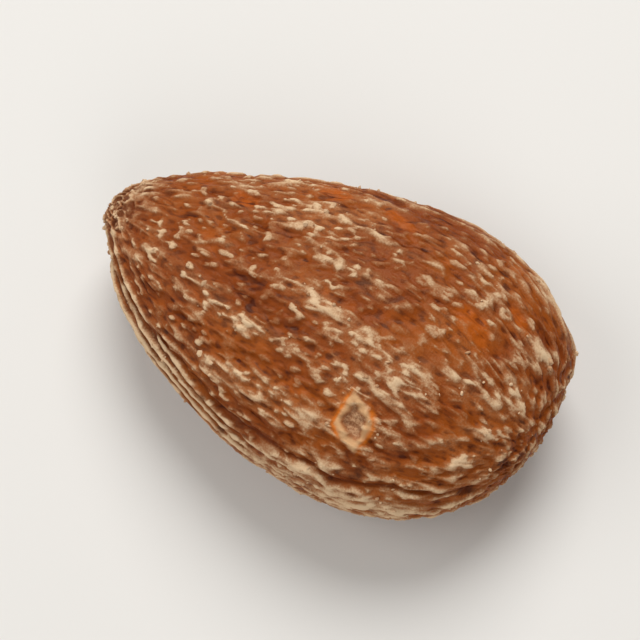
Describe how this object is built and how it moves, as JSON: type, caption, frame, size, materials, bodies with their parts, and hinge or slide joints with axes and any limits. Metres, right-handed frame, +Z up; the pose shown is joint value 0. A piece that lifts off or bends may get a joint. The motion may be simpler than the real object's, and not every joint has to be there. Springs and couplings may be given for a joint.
{
  "type": "almond kernel",
  "caption": "Whole almond kernel in its brown skin, teardrop-shaped and lens-like, lying on a small flat spot of one broad face.",
  "frame": {"origin": "on the surface the kernel rests on, under the middle of its box", "axes": "+X from the tip to the broad end, +Y away from the seam edge, +Z up through the thickness"},
  "size_m": [0.025, 0.0158, 0.0083],
  "materials": {
    "skin": "matt, wrinkled brown seed coat",
    "seasoning": "dry pale powder and crumbs"
  },
  "bodies": {
    "root": {"almond": "skin"}
  },
  "joints": []
}
